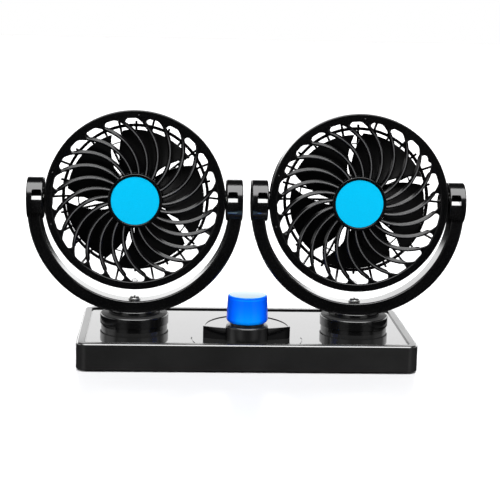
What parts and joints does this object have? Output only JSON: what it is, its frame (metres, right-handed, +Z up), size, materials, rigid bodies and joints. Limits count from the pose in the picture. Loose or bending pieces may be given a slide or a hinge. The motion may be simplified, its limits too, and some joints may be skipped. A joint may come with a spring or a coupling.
{
  "type": "car fan",
  "caption": "Twin car fan: two round heads in swivelling C-shaped yokes on a flat base with a rotary switch.",
  "frame": {"origin": "on the floor, under the middle of the base", "axes": "+Z up, -Y towards the front of the fan heads, +X to the right seen from the front"},
  "size_m": [0.3046, 0.119, 0.1718],
  "materials": {
    "satin_black": "satin moulded ABS",
    "gloss_black": "gloss moulded ABS",
    "knob_blue": "translucent blue polycarbonate",
    "disc_blue": "plain blue disc",
    "rubber_black": "moulded rubber",
    "bright_steel": "zinc plated",
    "motor_steel": "plated motor can"
  },
  "bodies": {
    "base": {"base_housing": "satin_black", "bottom_plate": "satin_black", "foot_front_left": "rubber_black", "foot_front_right": "rubber_black", "foot_rear_left": "rubber_black", "foot_rear_right": "rubber_black", "cover_screw_1": "bright_steel", "cover_screw_2": "bright_steel", "cover_screw_3": "bright_steel", "cover_screw_4": "bright_steel", "cable_gland": "rubber_black", "switch_platform": "gloss_black", "switch_bezel": "gloss_black", "switch_body": "satin_black", "switch_nut": "bright_steel", "left_pedestal_collar": "satin_black", "right_pedestal_collar": "satin_black"},
    "switch_knob": {"knob": "knob_blue", "knob_shaft": "bright_steel"},
    "left_swivel": {"left_yoke": "satin_black", "left_swivel_drum": "satin_black", "left_swivel_bolt": "bright_steel", "left_swivel_nut": "bright_steel", "left_fan_left_cap": "gloss_black", "left_fan_right_cap": "gloss_black"},
    "left_head": {"left_front_grille": "gloss_black", "left_hub_disc": "disc_blue", "left_rear_guard": "satin_black", "left_motor": "motor_steel", "left_motor_cover": "satin_black", "left_motor_screw_1": "bright_steel", "left_motor_screw_2": "bright_steel", "left_grille_screw_1": "bright_steel", "left_grille_screw_2": "bright_steel", "left_grille_screw_3": "bright_steel", "left_fan_left_pin": "bright_steel", "left_fan_right_pin": "bright_steel"},
    "left_wheel": {"left_impeller": "gloss_black", "left_motor_shaft": "bright_steel"},
    "right_swivel": {"right_yoke": "satin_black", "right_swivel_drum": "satin_black", "right_swivel_bolt": "bright_steel", "right_swivel_nut": "bright_steel", "right_fan_left_cap": "gloss_black", "right_fan_right_cap": "gloss_black"},
    "right_head": {"right_front_grille": "gloss_black", "right_hub_disc": "disc_blue", "right_rear_guard": "satin_black", "right_motor": "motor_steel", "right_motor_cover": "satin_black", "right_motor_screw_1": "bright_steel", "right_motor_screw_2": "bright_steel", "right_grille_screw_1": "bright_steel", "right_grille_screw_2": "bright_steel", "right_grille_screw_3": "bright_steel", "right_fan_left_pin": "bright_steel", "right_fan_right_pin": "bright_steel"},
    "right_wheel": {"right_impeller": "gloss_black", "right_motor_shaft": "bright_steel"}
  },
  "joints": [
    {"name": "knob_turn", "type": "hinge", "parent": "base", "child": "switch_knob", "pos_m": [0, -0.0375, 0.04], "axis": [0, 0, 1], "range_deg": [-45, 45]},
    {"name": "left_swivel_turn", "type": "hinge", "parent": "base", "child": "left_swivel", "pos_m": [-0.0777, -0.0015, 0.1093], "axis": [0, 0, 1], "range_deg": [-180, 180]},
    {"name": "left_tilt", "type": "hinge", "parent": "left_swivel", "child": "left_head", "pos_m": [-0.0777, -0.0015, 0.1093], "axis": [1, 0, 0], "range_deg": [-90, 90]},
    {"name": "left_spin", "type": "hinge", "parent": "left_head", "child": "left_wheel", "pos_m": [-0.0777, -0.0015, 0.1093], "axis": [0, 1, 0], "continuous": true},
    {"name": "right_swivel_turn", "type": "hinge", "parent": "base", "child": "right_swivel", "pos_m": [0.0777, -0.0015, 0.1093], "axis": [0, 0, 1], "range_deg": [-180, 180]},
    {"name": "right_tilt", "type": "hinge", "parent": "right_swivel", "child": "right_head", "pos_m": [0.0777, -0.0015, 0.1093], "axis": [1, 0, 0], "range_deg": [-90, 90]},
    {"name": "right_spin", "type": "hinge", "parent": "right_head", "child": "right_wheel", "pos_m": [0.0777, -0.0015, 0.1093], "axis": [0, 1, 0], "continuous": true}
  ]
}
